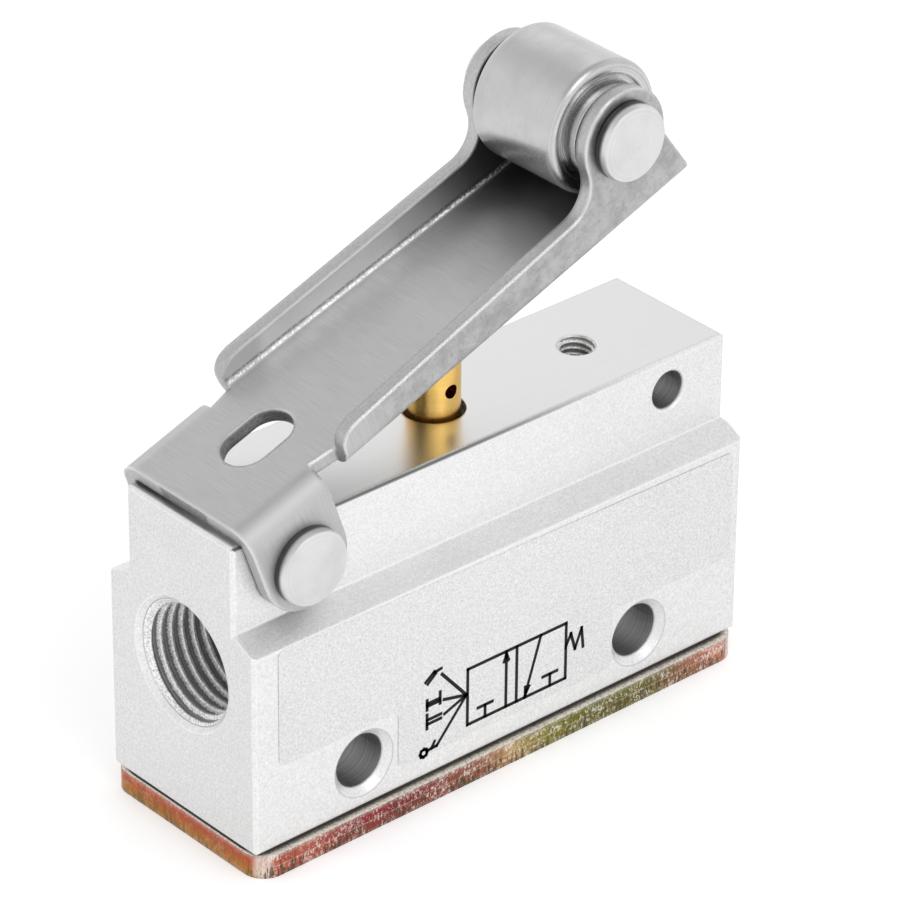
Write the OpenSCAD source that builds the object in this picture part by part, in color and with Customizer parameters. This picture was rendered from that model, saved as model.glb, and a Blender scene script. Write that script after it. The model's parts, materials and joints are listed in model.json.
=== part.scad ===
// Roller lever air valve: a two-position, three-way poppet valve worked by a roller on a stamped lever.
// Frame: X runs between the two end ports, Y across the body, Z up.
// The origin is under the middle of the base plate.
// Lever pieces are drawn about the pivot with the lever flat, then turned up to its rest angle.

/* [Body] */
// Length of the body between the port faces
body_l = 64; // [60:0.5:70]
// Width of the lower part of the body
body_w = 22; // [21:0.5:28]
// Height of the body above its gasket
body_h = 33.4; // [32:0.2:38]
// Width of the upper part, between the lever ears
neck_w = 16; // [14:0.5:17]
// Height of the upper part above the sloped shoulder
neck_h = 9.5; // [9.2:0.1:11]
// Height of the sloped shoulder
shoulder_rise = 1.5; // [0.8:0.1:2]
// Break on the outside edges
edge_break = 0.35; // [0.1:0.05:0.6]

/* [Ports and fixing holes] */
// Radius of the port bore, the major radius of a G1/4 thread
port_r = 6.58; // [5:0.02:7]
// Depth of the port bore
port_depth = 12; // [9:0.5:14]
// Height of the port axis above the underside of the body
port_z = 16.8; // [15:0.1:18]
// Chamfer at the mouth of each port
port_chamfer = 0.6; // [0.2:0.05:0.8]
// Radius of the straight drilling from the outlet port
outlet_r = 3.5; // [2.5:0.1:4]
// Radius of the slanted drilling from the inlet port
inlet_r = 2.75; // [2:0.05:2.9]
// Height at which the inlet drilling meets the wall of the inlet chamber
inlet_aim_z = 4; // [3.6:0.1:5]
// Distance between the two fixing holes
fixing_pitch = 36.5; // [34:0.5:40]
// Height of the fixing holes above the underside of the body
fixing_z = 5; // [4.5:0.1:5.5]
// Radius of the fixing holes
fixing_r = 2.9; // [2:0.05:3]
// Chamfer on the fixing holes
fixing_chamfer = 0.8; // [0.3:0.1:1.2]
// Chamfer on the lever pin holes
pin_chamfer = 0.25; // [0.1:0.05:0.5]
// Distance of the lever pin hole from the end of the body
pivot_inset = 7.7; // [7:0.1:9]
// Distance of the lever pin hole below the top of the body
pivot_drop = 3.7; // [3:0.1:4]
// Distance of each top thread from the end of the body
accessory_inset = 13; // [12.5:0.5:17]
// Radius of each top thread, M4
accessory_r = 2; // [1.5:0.1:2.5]
// Depth of each top thread
accessory_depth = 8; // [5:0.5:9]
// Chamfer on each top thread
accessory_chamfer = 0.1; // [0.05:0.05:0.5]

/* [Base plate] */
// Thickness of the base plate
plate_t = 2.5; // [1.9:0.1:3]
// Thickness of the gasket
gasket_t = 0.3; // [0.2:0.1:1]
// Setback of the plate from the end faces of the body
plate_setback = 0.05; // [0:0.05:0.8]
// Distance the plate stands out past the sides of the body
plate_overhang = 0.65; // [0:0.05:0.8]
// Setback of the gasket from the faces of the body
gasket_setback = 0.3; // [0.2:0.05:1]
// Corner radius of the plate
plate_corner_r = 2.5; // [1:0.1:3]
// Distance of the plate screws from the ends of the body
screw_inset_x = 3.6; // [3.5:0.1:4.5]
// Distance of the plate screws from the sides of the body
screw_inset_y = 3.6; // [3.5:0.1:4]
// Shank radius of the plate screws, M3
screw_r = 1.5; // [1:0.1:1.6]
// Length of the plate screws
screw_l = 8; // [6:0.5:9]
// Radius of the countersunk head
screw_head_r = 2.75; // [2.4:0.05:3]
// Height of the countersunk head
screw_head_h = 1.6; // [1.2:0.1:1.8]
// Corner radius of the hexagon socket in the head
socket_r = 1.15; // [0.8:0.05:1.3]
// Depth of the hexagon socket
socket_depth = 1; // [0.6:0.1:1.2]

/* [Lever] */
// Angle of the lever above level at rest
lever_angle = 19.5; // [16:0.5:24]
// Sheet thickness of the lever
sheet_t = 1.5; // [1:0.1:1.8]
// Outside radius of the bends along the side flanges
bend_r = 2; // [1.9:0.1:2.6]
// Outside radius of the bends above the pivot ears
ear_bend_r = 2.5; // [1.9:0.1:2.6]
// Clearance between the ears and the body
ear_gap = 0.2; // [0.1:0.05:0.4]
// Radius of the ears round the pivot
ear_r = 5; // [4.2:0.1:5.2]
// Height left between the heel of the lever and the top of the body at rest
heel_gap = 0.3; // [0.25:0.05:0.6]
// Distance along the lever from the pivot to the start of the side flanges
flange_start = 8; // [7:0.25:10]
// Distance along the lever from the pivot to its free end
lever_reach = 55.6; // [54.5:0.2:58]
// Narrowing of each side of the lever over its length
side_taper = 1.3; // [0:0.1:2]
// Height of the flange above the sheet at its start
flange_low = 2.6; // [1.5:0.1:3.5]
// Height of the flange above the sheet at the roller neck
flange_high = 3.7; // [3.6:0.1:4.5]
// Radius of the flange's starting corner
flange_corner_r = 2; // [1:0.1:2]
// Radius of the lower corner at the free end
end_corner_r = 1.2; // [0.5:0.1:1.5]
// Length of the slot in the heel
slot_l = 8; // [6:0.1:8.4]
// Width of the slot in the heel
slot_w = 5.2; // [3:0.1:5.5]
// Distance along the lever from the pivot to the middle of the slot
slot_at = 4.8; // [4.5:0.1:5.5]

/* [Roller] */
// Distance along the lever from the pivot to the roller axle
axle_at = 48.9; // [47:0.1:49.5]
// Height of the roller axle above the pivot, square to the lever
axle_rise = 15.6; // [15.5:0.1:17]
// Radius of the roller
roller_r = 7; // [6.4:0.05:7.2]
// Radius of the roller's edges
roller_edge_r = 0.8; // [0.2:0.05:0.8]
// Depth of the recess in each end of the roller
recess_depth = 0.5; // [0.3:0.05:0.8]
// Width of the groove between the recess wall and the bush collar
recess_gap = 0.6; // [0.3:0.05:0.9]
// Radius of the lever eyes round the roller axle
eye_r = 5.2; // [4.6:0.1:5.4]
// Radius of the fillet between the flange and the eye
neck_r = 3.6; // [2:0.1:4]
// Outside radius of the roller bushes
bush_r = 3.6; // [3:0.1:4]
// Length of each bush inside the roller
sleeve_l = 5.2; // [3:0.1:5.4]
// Radius of the bush collars that space the roller from the eyes
collar_r = 5; // [4.4:0.1:5.2]
// Distance each collar stands out of the end of the roller
collar_proud = 1.25; // [0.8:0.05:1.5]

/* [Pins] */
// Shank radius of the pivot pin and of the roller axle
pin_r = 2; // [1.5:0.05:2.2]
// Head radius of both pins
pin_head_r = 4; // [3.2:0.1:4.2]
// Head height of both pins
pin_head_h = 1.8; // [1.2:0.1:2]
// Edge radius of the pin heads
pin_edge_r = 1; // [0.2:0.05:1.1]
// Radius of the crown on the pin heads
pin_crown_r = 16; // [14:1:40]

/* [Plunger] */
// Radius of the plunger stem
stem_r = 2.75; // [2.4:0.05:2.9]
// Radius of the rounded tip of the stem
tip_r = 4; // [3.4:0.1:5]
// Clearance between the tip and the lever
tip_gap = 0.12; // [0.08:0.01:0.3]
// Outside radius of the bush that guides the stem
guide_r = 3.3; // [3.1:0.05:3.6]
// Depth of the hole that holds the guide bush
guide_depth = 5; // [4:0.1:6]
// Distance of the guide bush below the top of the body
guide_sunk = 0.7; // [0.3:0.1:1.2]
// Thickness of the land under the guide bush, which stops the piston
land_t = 2.2; // [1.5:0.1:2.6]
// Radius of the plunger's piston
piston_r = 5; // [4.8:0.05:5.2]
// Length of the plunger's piston
piston_l = 4; // [3.4:0.1:4.4]
// Radius of the drilling up the plunger
vent_r = 1.4; // [1:0.05:1.5]
// Radius of the cross hole that vents the plunger
cross_vent_r = 0.75; // [0.5:0.05:0.9]
// Height of the cross hole above the body at rest
cross_vent_rise = 2.9; // [2:0.1:3.5]
// Section radius of the plunger's ring seal
piston_ring_r = 0.75; // [0.5:0.05:0.8]

/* [Poppet] */
// Radius of the inlet chamber
chamber_r = 7.5; // [7.2:0.1:7.8]
// Height of the inlet chamber above the underside of the body
chamber_h = 10; // [9.6:0.1:10.4]
// Radius of the valve seat insert
seat_r = 6.5; // [6.2:0.1:6.8]
// Height of the valve seat insert
seat_h = 2.6; // [2.2:0.1:3]
// Radius of the hole through the valve seat
seat_hole_r = 4.2; // [3.8:0.05:4.2]
// Height of the sealing lip under the valve seat
seat_lip_h = 0.4; // [0.2:0.05:0.6]
// Width of the sealing lip
seat_lip_w = 0.7; // [0.4:0.05:0.9]
// Radius of the poppet
poppet_r = 6; // [5.8:0.1:6.4]
// Thickness of the poppet's rim
poppet_t = 2.4; // [2.1:0.1:2.6]
// Radius of the poppet's rubber face
face_r = 5.4; // [5.2:0.05:5.5]
// Thickness of the poppet's rubber face
face_t = 1.6; // [1.2:0.1:1.8]
// Height of the rubber face above the poppet's rim
face_proud = 0.3; // [0.1:0.05:0.5]
// Distance the plunger travels before it lands on the poppet
exhaust_gap = 1.5; // [1.2:0.1:2]
// Section radius of the seat's ring seal
seat_ring_r = 0.5; // [0.4:0.05:0.55]
// Height of the bosses that centre the poppet spring
boss_h = 1.2; // [0.8:0.1:1.3]
// Thickness of the dished washer under the poppet spring
cup_t = 0.8; // [0.5:0.1:1]

/* [Springs] */
// Wire radius of both springs
wire_r = 0.35; // [0.25:0.05:0.4]
// Turns of the plunger spring
plunger_turns = 5; // [3:0.5:6]
// Turns of the poppet spring
poppet_turns = 3.5; // [2.5:0.5:4]
// Coil radius of the poppet spring, to the middle of its wire
poppet_coil_r = 3.6; // [3.2:0.1:4]

/* [Hidden] */
$fn = 64;
// Room for a cut to pass through a face, and the sliver by which joined shapes overlap.
overcut = 1;
weld = 0.01;
// Radial clearances of sliding pins and pressed pieces, and gaps between faces at rest.
running_fit = 0.05;
push_fit = 0.03;
loose_fit = 0.15;
rest_gap = 0.05;
collar_gap = 0.12;
coil_gap = 0.1;
boss_gap = 0.5;
screw_sunk = 0.1;
// Steps in each turn of a spring, and sides of its wire.
turn_steps = 16;
wire_sides = 8;

base_z = plate_t + gasket_t;
top_z = base_z + body_h;
pivot_x = pivot_inset - body_l / 2;
pivot_z = top_z - pivot_drop;
port_axis_z = base_z + port_z;
port_floor_x = body_l / 2 - port_depth;
fixing_x = fixing_pitch / 2;
accessory_x = body_l / 2 - accessory_inset;
screw_x = body_l / 2 - screw_inset_x;
screw_y = body_w / 2 - screw_inset_y;

// Lever sizes, along the lever and square to it, from the pivot.
heel_l = ear_r;
shoulder_z = body_h - neck_h - shoulder_rise;
ear_in = neck_w / 2 + ear_gap;
ear_out = ear_in + sheet_t;
web_low = (pivot_drop + heel_gap + heel_l * sin(lever_angle)) / cos(lever_angle);
web_high = web_low + sheet_t;
flange_low_v = web_high + flange_low;
flange_high_v = web_high + flange_high;
eye_left = axle_at - eye_r;
neck_u = eye_left - neck_r;
pinch = tan(side_taper);
axle_half = ear_out - (axle_at - flange_start) * pinch;
axle_head_y = axle_half + pin_head_r * pinch + rest_gap;
lever_span = lever_reach - flange_start + overcut;
lever_w = 2 * (ear_out + overcut);
collar_out = axle_half - sheet_t - collar_r * pinch - collar_gap;
roller_half = collar_out - collar_proud;
collar_in = roller_half - recess_depth;

// Heights of the plunger and the poppet.
tip_z = pivot_z + (web_low - tip_r - tip_gap - pivot_x * sin(lever_angle)) / cos(lever_angle);
stop_z = top_z - guide_depth - land_t;
piston_top = stop_z - rest_gap;
piston_low = piston_top - piston_l;
seat_low = base_z + chamber_h;
seat_top = seat_low + seat_h;
lip_z = seat_low - seat_lip_h;
face_top = lip_z - rest_gap;
nose_z = face_top + exhaust_gap;
rim_top = face_top - face_proud;
rim_low = rim_top - poppet_t;
plunger_coil_r = piston_r + running_fit - wire_r - coil_gap;
boss_r = poppet_coil_r - wire_r - boss_gap;
cup_top = plate_t + cup_t;

// Shapes that several pieces share

// A rod along X from its middle.
module rod_x(r, l) {
    rotate([0, 90, 0]) cylinder(r = r, h = l, center = true);
}

// A rod along Y from its middle.
module rod_y(r, l) {
    rotate([90, 0, 0]) cylinder(r = r, h = l, center = true);
}

// A chamfer cutter whose mouth is at the origin, opening along +Z.
module mouth(r, chamfer) {
    translate([0, 0, -chamfer]) cylinder(r1 = r, r2 = r + 2 * chamfer, h = 2 * chamfer);
}

// A rectangle with its corners broken.
module broken_rect(l, w, e) {
    polygon([[-l / 2 + e, -w / 2], [l / 2 - e, -w / 2], [l / 2, -w / 2 + e], [l / 2, w / 2 - e],
        [l / 2 - e, w / 2], [-l / 2 + e, w / 2], [-l / 2, w / 2 - e], [-l / 2, -w / 2 + e]]);
}

// A block standing on z = 0 with all its edges broken.
module broken_block(l, w, h, e) {
    intersection() {
        linear_extrude(h) broken_rect(l, w, e);
        translate([0, 0, h / 2]) rotate([90, 0, 0]) linear_extrude(w, center = true) broken_rect(l, h, e);
        translate([0, 0, h / 2]) rotate([90, 0, 90]) linear_extrude(l, center = true) broken_rect(w, h, e);
    }
}

// A rectangle with round corners.
module round_rect(l, w, r) {
    square([l - 2 * r, w], center = true);
    square([l, w - 2 * r], center = true);
    for (x = [-1, 1], y = [-1, 1])
        translate([x * (l / 2 - r), y * (w / 2 - r)]) circle(r);
}

// What a round of radius r leaves of a square corner at the origin, with the round in +X +Y.
module corner_waste(r) {
    difference() {
        translate([-overcut, -overcut]) square(r + overcut);
        translate([r, r]) circle(r);
    }
}

// The fillet of radius r in an inside corner at the origin, in +X +Y.
module corner_fill(r) {
    difference() {
        square(r);
        translate([r, r]) circle(r);
    }
}

// A ring seal about Z, by its outside radius.
module ring_seal(outside_r, section) {
    rotate_extrude() translate([outside_r - section, 0]) circle(section);
}

// A cutter for the groove of such a ring seal in the outside of a shaft.
module ring_groove(outside_r, section) {
    floor_r = outside_r - 2 * section - running_fit;
    half = section + running_fit;
    rotate_extrude() translate([floor_r, -half]) square([2 * section + overcut, 2 * half]);
}

// Half the outline of a pin head standing on y = 0.
module head_outline() {
    intersection() {
        union() {
            square([pin_head_r - pin_edge_r, pin_head_h]);
            square([pin_head_r, pin_head_h - pin_edge_r]);
            translate([pin_head_r - pin_edge_r, pin_head_h - pin_edge_r]) circle(pin_edge_r);
        }
        translate([0, pin_head_h - pin_crown_r]) circle(pin_crown_r);
        square(pin_head_r + overcut);
    }
}

// A two-headed pin along Y, with its heads' undersides at -half and +half.
module headed_pin(half) {
    rod_y(pin_r, 2 * half + pin_head_h);
    for (side = [-1, 1])
        rotate([-side * 90, 0, 0]) translate([0, 0, half]) rotate_extrude() head_outline();
}

// A coil spring about Z from z = 0 to z = h over all, one polyhedron swept along its helix.
module coil(r, h, turns, wire) {
    rings = round(turns * turn_steps);
    rise = h - 2 * wire;
    centre = [for (i = [0:rings]) let (a = 360 * turns * i / rings)
        [r * cos(a), r * sin(a), wire + rise * i / rings]];
    points = [for (i = [0:rings], j = [0:wire_sides - 1])
        let (a = 360 * turns * i / rings, b = 360 * j / wire_sides)
        centre[i] + wire * [cos(b) * cos(a), cos(b) * sin(a), sin(b)]];
    walls = [for (i = [0:rings - 1], j = [0:wire_sides - 1])
        let (k = (j + 1) % wire_sides)
        [i * wire_sides + j, (i + 1) * wire_sides + j, (i + 1) * wire_sides + k, i * wire_sides + k]];
    first = [for (j = [0:wire_sides - 1]) j];
    last = [for (j = [0:wire_sides - 1]) rings * wire_sides + wire_sides - 1 - j];
    polyhedron(points, concat([first], walls, [last]));
}

// Places lever pieces, drawn flat about the pivot, at the lever's rest angle.
module at_lever() {
    translate([pivot_x, 0, pivot_z]) rotate([0, -lever_angle, 0]) children();
}

// The body and what closes it

// The outside of the body: a wide lower block with sloped shoulders and a narrower upper block.
module body_blank() {
    slope_top = shoulder_z + shoulder_rise;
    intersection() {
        broken_block(body_l, body_w, slope_top, edge_break);
        rotate([90, 0, 90]) linear_extrude(body_l, center = true)
            polygon([[-body_w / 2, 0], [body_w / 2, 0], [body_w / 2, shoulder_z], [neck_w / 2, slope_top],
                [-neck_w / 2, slope_top], [-body_w / 2, shoulder_z]]);
    }
    translate([0, 0, shoulder_z]) broken_block(body_l, neck_w, body_h - shoulder_z, edge_break);
}

// Port bores with chamfered mouths, the straight outlet drilling and the slanted inlet drilling.
module port_cuts() {
    for (side = [-1, 1]) {
        translate([side * (body_l - port_depth) / 2, 0, port_axis_z]) rod_x(port_r, port_depth + weld);
        translate([side * body_l / 2, 0, port_axis_z]) rotate([0, side * 90, 0]) mouth(port_r, port_chamfer);
    }
    translate([port_floor_x / 2, 0, port_axis_z]) rod_x(outlet_r, port_floor_x + weld);
    drop = port_z - inlet_aim_z;
    run = port_floor_x - chamber_r;
    translate([-port_floor_x, 0, port_axis_z]) rotate([0, 90 + atan2(drop, run), 0])
        translate([0, 0, -outlet_r]) cylinder(r = inlet_r, h = norm([run, drop]) + outlet_r + inlet_r / 2);
}

// The stepped bore down the middle of the body.
module centre_cuts() {
    translate([0, 0, top_z - guide_depth]) cylinder(r = guide_r, h = guide_depth + overcut);
    translate([0, 0, stop_z - overcut]) cylinder(r = stem_r + loose_fit, h = land_t + 2 * overcut);
    translate([0, 0, seat_low]) cylinder(r = piston_r + running_fit, h = stop_z - seat_low);
    translate([0, 0, seat_low - overcut]) cylinder(r = seat_r, h = seat_h + overcut);
    translate([0, 0, base_z - overcut]) cylinder(r = chamber_r, h = chamber_h + overcut);
}

// Holes right through the body: the fixing holes and the two lever pin holes.
module cross_cuts() {
    for (side = [-1, 1]) {
        translate([side * fixing_x, 0, base_z + fixing_z]) {
            rod_y(fixing_r, body_w + overcut);
            for (face = [-1, 1])
                translate([0, face * body_w / 2, 0]) rotate([-face * 90, 0, 0])
                    mouth(fixing_r, fixing_chamfer);
        }
        translate([side * pivot_x, 0, pivot_z]) {
            rod_y(pin_r + running_fit, neck_w + overcut);
            for (face = [-1, 1])
                translate([0, face * neck_w / 2, 0]) rotate([-face * 90, 0, 0])
                    mouth(pin_r + running_fit, pin_chamfer);
        }
    }
}

// Blind threads: one pair in the top, and four under the plate screws.
module thread_cuts() {
    for (side = [-1, 1]) {
        translate([side * accessory_x, 0, top_z - accessory_depth])
            cylinder(r = accessory_r, h = accessory_depth + overcut);
        translate([side * accessory_x, 0, top_z]) mouth(accessory_r, accessory_chamfer);
    }
    for (x = [-1, 1], y = [-1, 1])
        translate([x * screw_x, y * screw_y, base_z - overcut])
            cylinder(r = screw_r + running_fit, h = screw_l - base_z + 2 * overcut);
}

module valve_body() {
    color("gainsboro") difference() {
        translate([0, 0, base_z]) body_blank();
        port_cuts();
        centre_cuts();
        cross_cuts();
        thread_cuts();
    }
}

module base_plate() {
    color("darkgoldenrod") difference() {
        linear_extrude(plate_t)
            round_rect(body_l - 2 * plate_setback, body_w + 2 * plate_overhang, plate_corner_r);
        for (x = [-1, 1], y = [-1, 1]) translate([x * screw_x, y * screw_y, 0]) {
            cylinder(r = screw_r + running_fit, h = 3 * plate_t, center = true);
            cylinder(r = screw_head_r, h = 2 * screw_sunk, center = true);
            translate([0, 0, screw_sunk])
                cylinder(r1 = screw_head_r, r2 = screw_r + running_fit, h = screw_head_h);
        }
    }
}

module base_gasket() {
    color("black") translate([0, 0, plate_t]) difference() {
        linear_extrude(gasket_t)
            round_rect(body_l - 2 * gasket_setback, body_w - 2 * gasket_setback, plate_corner_r);
        cylinder(r = chamber_r, h = 3 * gasket_t, center = true);
        for (x = [-1, 1], y = [-1, 1]) translate([x * screw_x, y * screw_y, 0])
            cylinder(r = screw_r + running_fit, h = 3 * gasket_t, center = true);
    }
}

// One countersunk screw with a hexagon socket, its head down.
module countersunk_screw() {
    difference() {
        union() {
            cylinder(r1 = screw_head_r - running_fit, r2 = screw_r, h = screw_head_h);
            cylinder(r = screw_r, h = screw_l);
        }
        translate([0, 0, -overcut]) cylinder(r = socket_r, h = socket_depth + overcut, $fn = 6);
    }
}

// The screws that hold the plate, a little below its face.
module base_screws() {
    color("silver") for (x = [-1, 1], y = [-1, 1])
        translate([x * screw_x, y * screw_y, screw_sunk]) countersunk_screw();
}

// The valve inside

// Black bush in the top of the body that guides the plunger's stem.
module stem_guide() {
    color("dimgray") translate([0, 0, top_z - guide_depth]) difference() {
        cylinder(r = guide_r - push_fit, h = guide_depth - guide_sunk);
        translate([0, 0, -overcut]) cylinder(r = stem_r + running_fit, h = guide_depth + 2 * overcut);
    }
}

// Pressed-in seat: a brass ring with a lip that the poppet closes on, grooved for its ring seal.
module valve_seat() {
    color("goldenrod") difference() {
        union() {
            translate([0, 0, seat_low]) cylinder(r = seat_r - push_fit, h = seat_h);
            translate([0, 0, lip_z]) cylinder(r = seat_hole_r + seat_lip_w, h = seat_lip_h + overcut);
        }
        translate([0, 0, lip_z - overcut]) cylinder(r = seat_hole_r, h = seat_h + 3 * overcut);
        translate([0, 0, seat_low + seat_h / 2]) ring_groove(seat_r - push_fit, seat_ring_r);
    }
}

module seat_ring_seal() {
    color("black") translate([0, 0, seat_low + seat_h / 2]) ring_seal(seat_r - push_fit, seat_ring_r);
}

// Hollow brass plunger: rounded tip, stem, piston and nose, vented by a cross hole above the body.
module plunger() {
    nose_hole_top = top_z + cross_vent_rise + cross_vent_r;
    color("darkgoldenrod") difference() {
        union() {
            translate([0, 0, nose_z]) cylinder(r = stem_r, h = piston_low - nose_z + overcut);
            translate([0, 0, piston_low]) cylinder(r = piston_r, h = piston_l);
            translate([0, 0, piston_top - overcut]) cylinder(r = stem_r, h = tip_z - piston_top + overcut);
            intersection() {
                translate([0, 0, tip_z - overcut]) cylinder(r = stem_r, h = tip_r + 2 * overcut);
                translate([0, 0, tip_z]) sphere(tip_r);
            }
        }
        translate([0, 0, nose_z - overcut]) cylinder(r = vent_r, h = nose_hole_top - nose_z + overcut);
        translate([0, 0, top_z + cross_vent_rise]) rod_y(cross_vent_r, 4 * stem_r);
        translate([0, 0, piston_low + piston_l / 2]) ring_groove(piston_r, piston_ring_r);
    }
}

module plunger_ring_seal() {
    color("black") translate([0, 0, piston_low + piston_l / 2]) ring_seal(piston_r, piston_ring_r);
}

module plunger_spring() {
    color("silver") translate([0, 0, seat_top + rest_gap])
        coil(plunger_coil_r, piston_low - seat_top - 2 * rest_gap, plunger_turns, wire_r);
}

// Poppet: a cup for the rubber face, with a boss under it that centres the spring.
module poppet() {
    color("goldenrod") difference() {
        union() {
            translate([0, 0, rim_low]) cylinder(r = poppet_r, h = poppet_t);
            translate([0, 0, rim_low - boss_h]) cylinder(r = boss_r, h = boss_h + overcut);
        }
        translate([0, 0, face_top - face_t]) cylinder(r = face_r + push_fit, h = face_t + overcut);
    }
}

module poppet_face() {
    color("black") translate([0, 0, face_top - face_t]) cylinder(r = face_r, h = face_t);
}

module poppet_spring() {
    color("silver") translate([0, 0, cup_top + rest_gap])
        coil(poppet_coil_r, rim_low - cup_top - 2 * rest_gap, poppet_turns, wire_r);
}

// Dished washer on the base plate that centres the foot of the poppet spring.
module spring_cup() {
    cup_r = poppet_coil_r + wire_r + cup_t;
    color("silver") translate([0, 0, plate_t]) {
        cylinder(r = cup_r, h = cup_t);
        cylinder(r = boss_r, h = cup_t + boss_h / 2);
    }
}

// The lever and its roller

// Section across one bent edge: x inwards from the outside face, y up; the web runs inwards from the bend.
// tall is how far the bent side reaches from the far face of the web, and r is the outside of the bend.
module bent_section(tall, r) {
    web_in = neck_w / 2;
    inner_r = r - sheet_t;
    difference() {
        union() {
            square([web_in, sheet_t]);
            square([sheet_t, tall]);
        }
        corner_waste(r);
    }
    translate([sheet_t, sheet_t]) corner_fill(inner_r);
}

// Side outline of a flange and its roller eye, along the lever and square to it.
module flange_outline() {
    lean = asin(eye_r / norm([lever_reach - axle_at, axle_rise - web_low]));
    sight = atan2(axle_rise - web_low, lever_reach - axle_at);
    touch = 90 - (sight - lean);
    difference() {
        polygon([[flange_start, web_low], [lever_reach, web_low],
            [axle_at + eye_r * sin(180 - touch), axle_rise - eye_r * cos(touch)],
            [axle_at, axle_rise], [eye_left, axle_rise], [eye_left, flange_high_v], [neck_u, flange_high_v],
            [flange_start, flange_low_v]]);
        translate([flange_start, flange_low_v]) mirror([0, 1]) corner_waste(flange_corner_r);
        translate([lever_reach, web_low]) mirror([1, 0]) corner_waste(end_corner_r);
    }
    translate([axle_at, axle_rise]) circle(eye_r);
    translate([eye_left, flange_high_v]) mirror([1, 0]) corner_fill(neck_r);
}

// One upturned side of the lever, on -Y, following the taper.
module flange_side() {
    intersection() {
        translate([flange_start, -ear_out, web_low]) rotate([0, 0, side_taper]) rotate([90, 0, 90])
            translate([0, 0, -overcut]) linear_extrude(lever_span + 2 * overcut)
                bent_section(axle_rise + eye_r, bend_r);
        rotate([90, 0, 0]) linear_extrude(lever_w, center = true) flange_outline();
    }
}

// One downturned ear of the lever, on -Y.
module ear_side() {
    intersection() {
        translate([-heel_l - overcut, -ear_out, web_high]) rotate([90, 0, 90])
            linear_extrude(2 * (heel_l + overcut)) mirror([0, 1])
                bent_section(web_high + 2 * ear_r, ear_bend_r);
        rotate([90, 0, 0]) linear_extrude(lever_w, center = true) {
            translate([-ear_r, 0]) square([2 * ear_r, web_high]);
            circle(ear_r);
        }
    }
}

// Flat sheet between the bends.
module lever_web() {
    heel_half = ear_out - ear_bend_r + weld;
    root_half = ear_out - bend_r + weld;
    tip_half = root_half - (lever_reach - flange_start) * pinch;
    translate([0, 0, web_low]) linear_extrude(sheet_t)
        polygon([[-heel_l, -heel_half], [ear_r, -heel_half], [flange_start, -root_half],
            [lever_reach, -tip_half], [lever_reach, tip_half], [flange_start, root_half],
            [ear_r, heel_half], [-heel_l, heel_half]]);
}

// A slot along X with round ends.
module round_slot(l, w) {
    square([l - w, w], center = true);
    for (x = [-1, 1]) translate([x * (l - w) / 2, 0]) circle(w / 2);
}

module lever() {
    color("darkgray") at_lever() difference() {
        union() {
            lever_web();
            for (side = [0, 1]) mirror([0, side, 0]) {
                flange_side();
                ear_side();
            }
        }
        translate([slot_at, 0, web_low - overcut]) linear_extrude(sheet_t + 2 * overcut)
            round_slot(slot_l, slot_w);
        rod_y(pin_r + running_fit, lever_w);
        translate([axle_at, 0, axle_rise]) rod_y(pin_r + running_fit, lever_w);
    }
}

module pivot_pin() {
    color("lightgray") at_lever() headed_pin(ear_out + rest_gap);
}

module roller_axle() {
    color("lightgray") at_lever() translate([axle_at, 0, axle_rise]) headed_pin(axle_head_y);
}

// Hardened roller with rounded edges and a shallow recess in each end.
module roller() {
    recess_r = collar_r + recess_gap;
    color("silver") at_lever() translate([axle_at, 0, axle_rise]) difference() {
        rotate([90, 0, 0]) rotate_extrude() difference() {
            translate([0, -roller_half]) square([roller_r, 2 * roller_half]);
            for (end = [0, 1]) mirror([0, end])
                translate([roller_r, -roller_half]) mirror([1, 0]) corner_waste(roller_edge_r);
        }
        rod_y(bush_r + push_fit, 2 * (roller_half + overcut));
        for (end = [-1, 1]) translate([0, end * (roller_half - recess_depth / 2), 0])
            rod_y(recess_r, recess_depth + weld);
    }
}

// A collared bush pressed into one end of the roller; its collar runs against the lever's eye.
module roller_bush(side) {
    color("lightgray") at_lever() translate([axle_at, 0, axle_rise]) rotate([-side * 90, 0, 0]) difference() {
        union() {
            translate([0, 0, roller_half - sleeve_l]) cylinder(r = bush_r, h = sleeve_l);
            translate([0, 0, collar_in + weld]) cylinder(r = collar_r, h = collar_out - collar_in - weld);
        }
        cylinder(r = pin_r + running_fit, h = collar_out + overcut);
    }
}

module roller_bush_front() {
    roller_bush(-1);
}

module roller_bush_back() {
    roller_bush(1);
}

valve_body();
base_plate();
base_gasket();
base_screws();
stem_guide();
valve_seat();
seat_ring_seal();
plunger();
plunger_ring_seal();
plunger_spring();
poppet();
poppet_face();
poppet_spring();
spring_cup();
lever();
pivot_pin();
roller();
roller_bush_front();
roller_bush_back();
roller_axle();
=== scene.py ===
import json
import math
import bpy
import numpy as np
from mathutils import Matrix, Vector


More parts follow.
